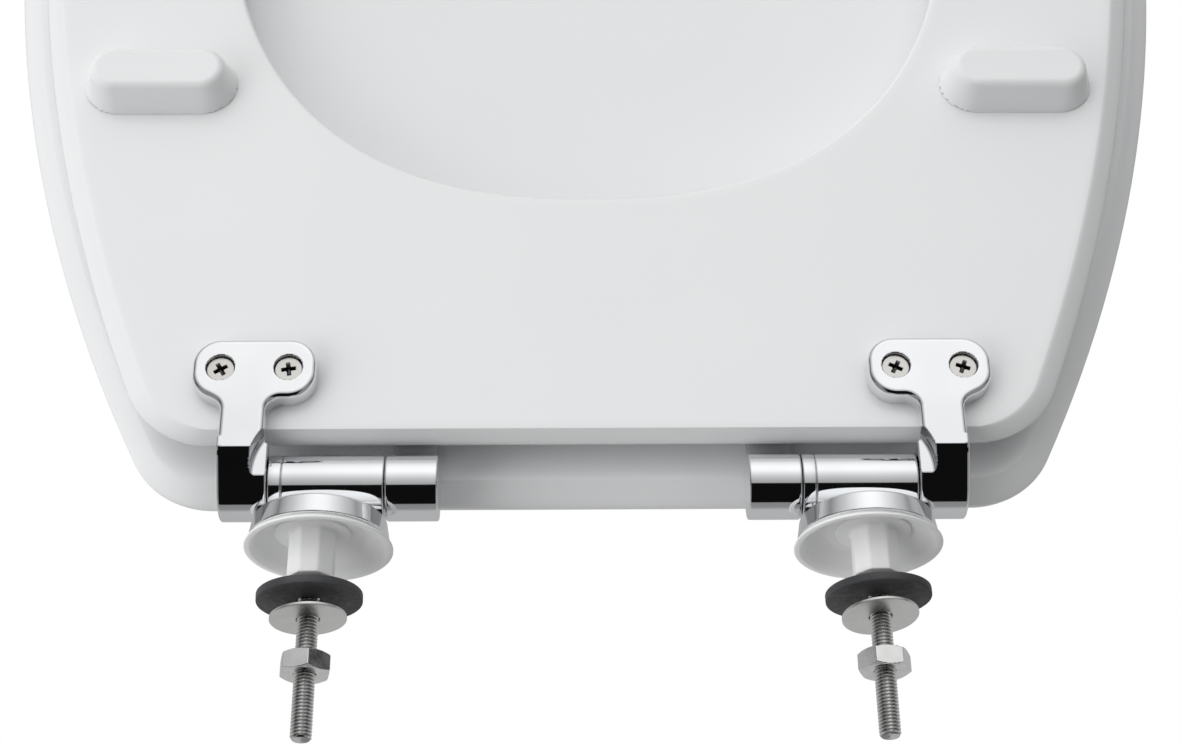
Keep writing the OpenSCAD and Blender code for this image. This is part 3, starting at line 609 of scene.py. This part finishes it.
def leg_plan(x, reach, lobe_x, neck_in):
    """Distance to a leg's outline in plan: two lobes round the screws, and the neck."""
    lobes = flat_box(x, reach, lobe_x - SCREW_SPACING / 2, lobe_x + SCREW_SPACING / 2,
                     SCREW_REACH - LOBE_SHIFT, SCREW_REACH + LOBE_SHIFT) - LOBE_R
    neck = flat_box(x, reach, neck_in, neck_in + NECK_WIDTH, LEG_ROOT, SCREW_REACH)
    return join(lobes, neck, LEG_FILLET)


def facet(reach, drop, crease_reach, crease_drop):
    """Distance in front of the flat from a crease to the barrel's round, and beyond its end."""
    a = math.atan2(crease_drop, crease_reach)
    a += math.acos(BARREL_R / math.hypot(crease_reach, crease_drop))
    nr, nd = math.cos(a), math.sin(a)
    return reach * nr + drop * nd - BARREL_R, drop * nr - reach * nd


def screw_holes(x, reach, depth, lobe_x, floor):
    """Counterbores with a countersink below; depth runs into the plate from its face."""
    hole = None
    for cx in (lobe_x - SCREW_SPACING / 2, lobe_x + SCREW_SPACING / 2):
        r = np.hypot(x - cx, reach - SCREW_REACH)
        sink = np.maximum(r - SCREW_SEAT_R, depth - floor)
        taper = np.maximum((r - SCREW_SEAT_R + (depth - floor)) * COS_45,
                           depth - floor - SINK_DEPTH)
        sink = np.minimum(sink, np.maximum(taper, floor - depth - 0.05))
        sink = np.minimum(sink, r - SCREW_HOLE_R)
        hole = sink if hole is None else np.minimum(hole, sink)
    return hole


def foot_shape(r, z):
    """Distance to the post's round foot, whose wall draws in towards its shoulder."""
    taper = math.atan2(FOOT_DRAFT, FOOT_TOP - DISC_RIM - FOOT_EDGE_R)
    wall = (r - FOOT_R) * math.cos(taper) + (z - DISC_RIM) * math.sin(taper)
    return cut(wall, z - FOOT_TOP, FOOT_EDGE_R)


def build_seat_leg(side, name):
    def field(x, y, z):
        reach, drop = -y, -z
        face = drop + LEG_FACE
        plan = leg_plan(x, reach, LOBE_X, NECK_IN)
        plate = np.maximum(cut(plan, face, 1.5), -RING_UNDER - drop)
        flat, beyond = facet(reach, drop, CREASE_REACH, -LEG_FACE)
        plate = np.maximum(plate, flat)
        profile = cut(cut(flat, face, 0.25), reach - BARREL_R, 0.4)
        profile = np.maximum(np.maximum(profile, beyond), -drop)
        profile = np.minimum(profile, np.hypot(reach, drop) - BARREL_R)
        block = cut(profile, slab(x, BLOCK_IN, BLOCK_OUT), 0.7)
        body = np.minimum(plate, block)
        holes = screw_holes(x, reach, -face, LOBE_X, HEAD_RECESS + HEAD_RIM)
        body = cut(body, -holes, HOLE_EDGE_R)
        bore = np.maximum(np.hypot(reach, drop) - BUSH_R, x - (BLOCK_OUT - END_WALL))
        body = np.maximum(body, -bore)
        relief = foot_shape(np.hypot(x - FOOT_X, reach), AXIS_HEIGHT - drop) - FOOT_CLEARANCE
        return cut(body, -relief, HOLE_EDGE_R)

    p, faces, n = net(field, (78.5, -41.5, -15.5), (116, 10, 10), step=0.42)
    piece("seat_leg_" + name, "casting", opened(p), faces, "seat", CHROME,
          normals=opened_normals(n), side=side)


def build_lid_leg(side, name):
    def field(x, y, z):
        reach, rise = -y, z
        plan = leg_plan(x, reach, LID_LOBE_X, LID_LOBE_X - NECK_WIDTH / 2)
        plate = np.maximum(cut(plan, LID_LEG_FACE - rise, 0.8), rise - LID_UNDER)
        flat, beyond = facet(reach, rise, HEEL_REACH, LID_UNDER)
        profile = np.maximum(np.maximum(flat, beyond),
                             np.maximum(rise - LID_UNDER, reach - BARREL_R))
        profile = np.maximum(profile, -rise)
        profile = np.minimum(profile, np.hypot(reach, rise) - BARREL_R)
        block = cut(profile, slab(x, KNUCKLE_IN, KNUCKLE_OUT), 0.6)
        body = np.maximum(np.minimum(plate, block), rise - LID_UNDER)
        holes = screw_holes(x, reach, rise - LID_LEG_FACE, LID_LOBE_X, HEAD_RIM)
        body = cut(body, -holes, HOLE_EDGE_R)
        bore = np.maximum(np.hypot(reach, rise) - BUSH_R, KNUCKLE_IN + END_WALL - x)
        return np.maximum(body, -bore)

    p, faces, n = net(field, (33, -41.5, -10), (70.5, 10, 11), step=0.5)
    piece("lid_leg_" + name, "casting", opened(p), faces, "lid", CHROME,
          normals=opened_normals(n), side=side)


def build_post(side, name):
    """Barrel, neck and hollow foot; the end ring takes the barrel's left end on both sides."""
    x0 = BARREL_IN if side == LEFT else BARREL_IN + END_RING
    x1 = BARREL_OUT - END_RING if side == LEFT else BARREL_OUT

    def field(x, y, z):
        up = z - AXIS_HEIGHT
        r = np.hypot(x - FOOT_X, y)
        barrel = cut(np.hypot(y, up) - BARREL_R, slab(x, x0, x1), 0.45)
        foot = cut(foot_shape(r, z), DISC_RIM - z, 0.4)
        neck = np.maximum(r - NECK_R, np.maximum(up, NECK_BOTTOM - z))
        body = join(join(foot, neck, 1.2), barrel, 0.5)
        body = np.maximum(body, -np.maximum(np.hypot(y, up) - PIN_R, slab(x, x0 - 1, x1 + 1)))
        pocket = r - POCKET_R + (z - DISC_RIM) * FOOT_DRAFT / 2 / (POCKET_TOP - DISC_RIM)
        body = np.maximum(body, -np.maximum(pocket, z - POCKET_TOP))
        return np.maximum(body, -np.maximum(np.hypot(x - STUD_X, y) - STUD_R, z - STUD_TOP))

    p, faces, n = net(field, (57, -20.5, 1), (98, 20.5, 29.5), step=0.34)
    piece("post_" + name, "casting", p, faces, "posts", CHROME, normals=n, side=side)


def build_end_ring(side, name):
    x0 = BARREL_OUT - END_RING if side == LEFT else BARREL_IN
    edge = 0.4
    r = BARREL_R - edge
    profile = [(PIN_R, 0), (r, 0)] + arc(r, edge, edge, -90, 0, 4)[1:]
    profile += arc(r, END_RING - edge, edge, 0, 90, 4) + [(PIN_R, END_RING)]
    p, faces = lathe(profile, 96)
    p = np.stack([p[:, 2] + x0, p[:, 0], p[:, 1] + AXIS_HEIGHT], 1)
    piece("end_ring_" + name, "turned", p, faces, "posts", CHROME, smooth=45, side=side)


# ---------------------------------------------------------------- discs, studs, washers and nuts

def build_disc(side, name):
    """Dished disc with a thin lip; collar and eight-sided sleeve stand round the stud."""
    lip_in, plug_r, edge = FOOT_R - LIP_GROOVE, POCKET_R - DISC_CLEARANCE, 0.3
    profile = arc(DISC_R - edge, edge, edge, -90, 0, 3)
    profile += arc(DISC_R - edge, DISC_LIP - edge, edge, 0, 90, 3)
    profile += [(lip_in, DISC_LIP), (lip_in, DISC_RIM), (plug_r, DISC_RIM),
                (plug_r - 0.4, POCKET_TOP - 0.3), (plug_r - 0.7, POCKET_TOP),
                (DISC_BORE_R, POCKET_TOP), (DISC_BORE_R, DISH_DEPTH)]
    # The dish: flat round the collar, down a round shoulder, a straight cone, the rim it rests on
    profile += [(11.9, DISH_DEPTH), (12.53, DISH_DEPTH - 0.07), (13.13, DISH_DEPTH - 0.28),
                (13.69, DISH_DEPTH - 0.62), (19.25, 0.12), (19.4, 0.02), (19.55, 0)]
    p, faces = lathe(profile, 160, FOOT_X)
    piece("base_disc_" + name, "moulding", p, faces, "posts", NYLON,
          smooth=35, side=side)

    def field(x, y, z):
        px = x - STUD_X
        s = np.hypot(px, y)
        collar = cut(s - COLLAR_R, slab(z, DISH_DEPTH - COLLAR_STEP, POCKET_TOP - 0.1), 0.25)
        flats = prism(px, y, [math.radians(turn) for turn in (0, 45, 90, 135)], SLEEVE_HALF, 0.35)
        sleeve = cut(flats, slab(z, SLEEVE_END, POCKET_TOP - 0.2), 0.3)
        return np.maximum(join(collar, sleeve, 1.0), SLEEVE_BORE_R - s)

    p, faces, n = net(field, (STUD_X - 11, -11, -9.7), (STUD_X + 11, 11, 6.1), step=0.3)
    piece("base_disc_" + name, "sleeve", p, faces, "posts", NYLON,
          normals=n, side=side)


def build_stud(side, name):
    """Stud with its thread; the helix turns the same way on both sides."""
    turns = 32
    z = np.concatenate([np.arange(STUD_TIP, STUD_TOP, THREAD_PITCH / 12), [STUD_TOP]])
    angle = 2 * math.pi * np.arange(turns) / turns
    zz, aa = np.meshgrid(z, angle, indexing="ij")
    phase = (zz / THREAD_PITCH - aa / (2 * math.pi) * side) % 1.0
    valley = np.clip((np.abs(phase - 0.5) - CREST_HALF) / FLANK, 0, 1)
    r = np.minimum(STUD_R - THREAD_DEPTH * valley, STUD_TIP_R + (zz - STUD_TIP) * TIP_SLOPE)
    points = np.stack([STUD_X + r * np.cos(aa), r * np.sin(aa), zz], 2).reshape(-1, 3)
    faces = grid(len(z), turns)
    faces.append(list(range(turns))[::-1])
    faces.append([(len(z) - 1) * turns + j for j in range(turns)])
    piece("stud_" + name, "threaded", points, faces, "posts", STUD_STEEL[side],
          smooth=35, side=side)


def build_washer(node, side, material, bore_r, outer_r, half, edge, tilt, lean, place):
    """A flat ring turned about its middle, front down and right side up, in its place."""
    profile = arc(bore_r + edge, edge - half, edge, 180, 270, 3)
    profile += arc(outer_r - edge, edge - half, edge, 270, 360, 3)
    profile += arc(outer_r - edge, half - edge, edge, 0, 90, 3)
    profile += arc(bore_r + edge, half - edge, edge, 90, 180, 3)
    p, faces = lathe(profile, 96)
    t, w = math.radians(tilt), -math.radians(lean)
    turn_x = np.array([[1, 0, 0], [0, math.cos(t), -math.sin(t)], [0, math.sin(t), math.cos(t)]])
    turn_y = np.array([[math.cos(w), 0, math.sin(w)], [0, 1, 0], [-math.sin(w), 0, math.cos(w)]])
    piece(node, "pressed", p @ (turn_y @ turn_x).T + place, faces, "posts", material,
          smooth=50, side=side)


def build_washers(side, name):
    build_washer("rubber_washer_" + name, side, RUBBER, bore_r=3.9, outer_r=14.85,
                 half=1.2, edge=0.3, tilt=2.5, lean=1.5 * side, place=(STUD_X, 0.6, -14.6))
    build_washer("steel_washer_" + name, side, WASHER_STEEL, bore_r=3.35, outer_r=10.75,
                 half=0.5, edge=0.2, tilt=STEEL_WASHER_TILT[side], lean=3 * side,
                 place=(STUD_X, 0, -20.9))


def build_nut(side, name):
    facing = [math.radians(NUT_TURN[side]) + math.radians(30 + 60 * i) for i in range(3)]

    def field(x, y, z):
        px, pz = x - STUD_X, z - NUT_BOTTOM
        flats = prism(px, y, facing, NUT_HALF, 0.12)
        r = np.hypot(px, y)
        cone = np.maximum((r - NUT_FACE_R - pz / TAN_30) * 0.5,
                          (r - NUT_FACE_R - (NUT_HEIGHT - pz) / TAN_30) * 0.5)
        body = cut(np.maximum(flats, cone), slab(pz, 0, NUT_HEIGHT), 0.12)
        from_end = np.minimum(pz, NUT_HEIGHT - pz)
        chamfer = (STUD_R - r + NUT_BORE_CHAMFER - from_end) * COS_45
        return np.maximum(body, np.maximum(STUD_R - r, chamfer))

    p, faces, n = net(field, (71.3, -8, -38.2), (87.3, 8, -32), step=0.2)
    piece("nut_" + name, "forged", p, faces, "posts", NUT_STEEL, normals=n, side=side)


def build_seat_screw(node, side, x, turn):
    """A countersunk screw; its cross is turned by an angle of its own."""
    t = math.radians(turn)

    def field(px, py, pz):
        r = np.hypot(px, py)
        head = cut(r - HEAD_R, -pz, 0.25)
        head = np.maximum(head, (r - HEAD_R + (pz - 0.5)) * COS_45)
        point = (r - SHANK_R + (pz - SCREW_POINT)) * COS_45
        shank = np.maximum(r - SHANK_R, np.maximum(pz - SCREW_LENGTH, point))
        shank = np.maximum(shank, 0.5 - pz)
        body = np.minimum(np.maximum(head, pz - HEAD_HEIGHT), shank)
        cx = px * math.cos(t) + py * math.sin(t)
        cy = -px * math.sin(t) + py * math.cos(t)
        arm = CROSS_ARM - pz * 0.7
        width = CROSS_HALF_WIDTH - pz * 0.12
        one = np.maximum(np.abs(cx) - arm, np.abs(cy) - width)
        two = np.maximum(np.abs(cy) - arm, np.abs(cx) - width)
        core = (r - CROSS_CORE_R + pz * 0.45) * 0.9
        cross = np.maximum(np.minimum(np.minimum(one, two), core), pz - CROSS_DEPTH)
        return cut(body, -cross, 0.08)

    p, faces, n = net(field, (-4, -4, 0), (4, 4, 14), step=0.17)
    p = p + (x, -SCREW_REACH, LEG_FACE + HEAD_RECESS)
    piece(node, "driven", opened(p), faces, "seat", SEAT_SCREW_STEEL,
          normals=opened_normals(n), side=side)


build_ring()
build_lid()
for side, name in SIDES:
    build_buffer("seat_buffer_rear_" + name, side, *REAR_BUFFER)
    build_buffer("seat_buffer_front_" + name, side, *FRONT_BUFFER)
    build_seat_leg(side, name)
    build_lid_leg(side, name)
    build_post(side, name)
    build_end_ring(side, name)
    build_disc(side, name)
    build_stud(side, name)
    build_washers(side, name)
    build_nut(side, name)
OUTER, INNER = LOBE_X + SCREW_SPACING / 2, LOBE_X - SCREW_SPACING / 2
build_seat_screw("seat_screw_left_outer", LEFT, OUTER, 30)
build_seat_screw("seat_screw_left_inner", LEFT, INNER, 8)
build_seat_screw("seat_screw_right_inner", RIGHT, INNER, 27)
build_seat_screw("seat_screw_right_outer", RIGHT, OUTER, 20)


# ---------------------------------------------------------------- floor, light and camera

# The studio by direction, as brightness at an angle about the X axis (0 front, 90 up, in
# degrees) and at a share to the side. Light on the matt surfaces:
LIGHT_ANGLES = [(-180, 0.75), (-130, 0.66), (-95, 0.60), (-60, 0.75), (-20, 0.97), (90, 1.0),
                (180, 0.8)]
LIGHT_SIDES = [(-1, 1.0), (0.25, 1.0), (0.6, 0.58), (1, 0.30)]
# What gloss and metal show: a wide soft box in front, its fall-off to the sides, and the dim
# room round it
MIRROR_PEAK = 1.14
MIRROR_FRONT = [(-180, 0), (-22, 0), (-16, 0.34), (-8, 0.40), (4, 0.52), (16, 0.70), (28, 0.92),
                (36, 1.0), (50, 0.97), (64, 0.80), (76, 0.50), (88, 0.20), (100, 0), (180, 0)]
MIRROR_SIDES = [(0, 1.0), (0.12, 0.98), (0.24, 0.9), (0.36, 0.77), (0.46, 0.68), (0.54, 0.60),
                (0.64, 0.52), (0.75, 0.38), (0.83, 0.28), (0.89, 0.16), (1.1, 0.13)]
MIRROR_CENTRE = 0.035
MIRROR_ROOM = [(-180, 0.40), (-140, 0.42), (-115, 0.42), (-103, 0.24), (-84, 0.22), (-20, 0.22),
               (-16, 0), (55, 0), (74, 0.03), (84, 0.25), (94, 0.36), (180, 0.40)]
# Dark cards: from angle, to angle, from side, to side, softness of the sides, brightness. The
# first, below the front, takes its part of the light off matt surfaces too; the second, a narrow
# one at both sides, is seen in gloss and metal only.
DARK_CARD = (-84, -15, -0.5, 0.5, 0.12, 0.004)
SIDE_CARD = (61, 73, 0.78, 1.2, 0.04, 0.01)
CARD_SOFTNESS = 1.5

FLOOR_Z, FLOOR_HALF = -0.0575, 6.0
CAMERA_YAW, CAMERA_PITCH, CAMERA_ROLL = 0.01430, 0.53304, -0.01101
CAMERA_PLACE = (-0.00827, -0.5592, -0.2721)
FOCAL_PIXELS, PHOTO_PIXELS, SENSOR_MM = 2200, 1182, 36


def build_floor():
    """A pale floor that the camera sees through from below."""
    mesh = bpy.data.meshes.new("floor")
    s, z = FLOOR_HALF, FLOOR_Z
    mesh.from_pydata([(-s, -s, z), (s, -s, z), (s, s, z), (-s, s, z)], [], [(0, 1, 2, 3)])
    m, tree, p = shader("pale_floor")
    p.inputs["Base Color"].default_value = (0.86, 0.86, 0.86, 1)
    p.inputs["Roughness"].default_value = 0.8
    facing = tree.nodes.new("ShaderNodeNewGeometry")
    clear = tree.nodes.new("ShaderNodeBsdfTransparent")
    seen = mix_shaders(tree, facing.outputs["Backfacing"], p, clear)
    tree.links.new(seen.outputs[0], tree.nodes["Material Output"].inputs["Surface"])
    mesh.materials.append(m)
    floor = bpy.data.objects.new("floor", mesh)
    bpy.context.scene.collection.objects.link(floor)
    floor.visible_diffuse = False
    floor.visible_glossy = False
    floor.visible_transmission = False
    floor.visible_shadow = False


def curve(tree, value, stops):
    """A value taken through (value, level) stops, straight between them."""
    low, high = stops[0][0], stops[-1][0]
    bands = tree.nodes.new("ShaderNodeValToRGB")
    elements = bands.color_ramp.elements
    while len(elements) > 1:
        elements.remove(elements[-1])
    for i, (at, level) in enumerate(stops):
        stop = elements[0] if i == 0 else elements.new((at - low) / (high - low))
        stop.position = (at - low) / (high - low)
        stop.color = (level, level, level, 1)
    tree.links.new(ramp(tree, value, 0, 1, low, high), bands.inputs[0])
    return bands.outputs["Color"]


def behind(tree, level, angle, across, card):
    """The level with a card held in front of it."""
    from_angle, to_angle, from_side, to_side, edge, brightness = card
    mask = None
    for value, place, soft in ((angle, from_angle, CARD_SOFTNESS),
                               (angle, to_angle, -CARD_SOFTNESS),
                               (across, from_side, edge), (across, to_side, -edge)):
        side = ramp(tree, value, 0, 1, place - soft, place + soft, smooth=True)
        mask = side if mask is None else figure(tree, "MULTIPLY", mask, side)
    clear = figure(tree, "MULTIPLY", level, figure(tree, "SUBTRACT", 1, mask))
    return figure(tree, "ADD", clear, figure(tree, "MULTIPLY", mask, brightness))


def build_world():
    """Studio light by direction; the camera and clear materials see plain white."""
    world = bpy.data.worlds.new("studio")
    bpy.context.scene.world = world
    world.use_nodes = True
    tree = world.node_tree
    tree.nodes.clear()

    direction = axes_of(tree, "Generated")
    side = direction["X"]
    front = figure(tree, "MULTIPLY", direction["Y"], -1)
    angle = figure(tree, "ARCTAN2", direction["Z"], front)
    angle = figure(tree, "MULTIPLY", angle, 180 / math.pi)
    aside = figure(tree, "ABSOLUTE", figure(tree, "SUBTRACT", side, MIRROR_CENTRE))

    def background(level, strength=1.0):
        node = tree.nodes.new("ShaderNodeBackground")
        node.inputs["Strength"].default_value = strength
        tree.links.new(behind(tree, level, angle, side, DARK_CARD), node.inputs["Color"])
        return node

    lit = background(figure(tree, "MULTIPLY", curve(tree, angle, LIGHT_ANGLES),
                            curve(tree, side, LIGHT_SIDES)))
    soft_box = figure(tree, "MULTIPLY", curve(tree, angle, MIRROR_FRONT),
                      curve(tree, aside, MIRROR_SIDES))
    studio = figure(tree, "ADD", soft_box, curve(tree, angle, MIRROR_ROOM))
    mirrored = background(behind(tree, studio, angle, aside, SIDE_CARD), MIRROR_PEAK)
    white = tree.nodes.new("ShaderNodeBackground")
    white.inputs["Color"].default_value = (1, 1, 1, 1)
    ray = tree.nodes.new("ShaderNodeLightPath")
    plain = figure(tree, "MAXIMUM", ray.outputs["Is Camera Ray"],
                   ray.outputs["Is Transmission Ray"])
    seen = mix_shaders(tree, ray.outputs["Is Glossy Ray"], lit, mirrored)
    seen = mix_shaders(tree, plain, seen, white)
    out = tree.nodes.new("ShaderNodeOutputWorld")
    tree.links.new(seen.outputs[0], out.inputs[0])


def aimed(right, up, forward, place):
    rows = [(right[i], up[i], -forward[i], place[i]) for i in range(3)]
    return Matrix(rows + [(0, 0, 0, 1)])


def build_lamp(name, place, target, size, power):
    data = bpy.data.lights.new(name, "AREA")
    data.shape = "RECTANGLE"
    data.size, data.size_y = size
    data.energy = power
    lamp = bpy.data.objects.new(name, data)
    bpy.context.scene.collection.objects.link(lamp)
    forward = np.array(target, float) - np.array(place, float)
    forward /= np.linalg.norm(forward)
    right = np.cross(forward, (0, 0, 1.0))
    right /= np.linalg.norm(right)
    lamp.matrix_world = aimed(right, np.cross(right, forward), forward, place)
    lamp.visible_glossy = False


def build_camera():
    """The photograph's camera, which looks up at the object from below."""
    flat = math.cos(CAMERA_PITCH)
    forward = np.array([math.sin(CAMERA_YAW) * flat, math.cos(CAMERA_YAW) * flat,
                        math.sin(CAMERA_PITCH)])
    level = np.array([math.cos(CAMERA_YAW), -math.sin(CAMERA_YAW), 0])
    upright = np.cross(level, forward)
    right = math.cos(CAMERA_ROLL) * level + math.sin(CAMERA_ROLL) * upright
    up = -math.sin(CAMERA_ROLL) * level + math.cos(CAMERA_ROLL) * upright
    data = bpy.data.cameras.new("camera")
    data.sensor_width = SENSOR_MM
    data.lens = FOCAL_PIXELS / PHOTO_PIXELS * SENSOR_MM
    data.clip_start, data.clip_end = 0.01, 50
    camera = bpy.data.objects.new("camera", data)
    bpy.context.scene.collection.objects.link(camera)
    camera.matrix_world = aimed(right, up, forward, CAMERA_PLACE)
    bpy.context.scene.camera = camera


build_floor()
build_world()
build_lamp("key", (-0.8, -2.6, 1.1), (0, 0, 0.15), (3.0, 2.2), 16)
build_lamp("fill", (-0.75, -0.45, -0.43), (-0.12, 0, 0), (0.9, 0.7), 2.9)
build_camera()
bpy.context.scene.view_settings.view_transform = "Standard"
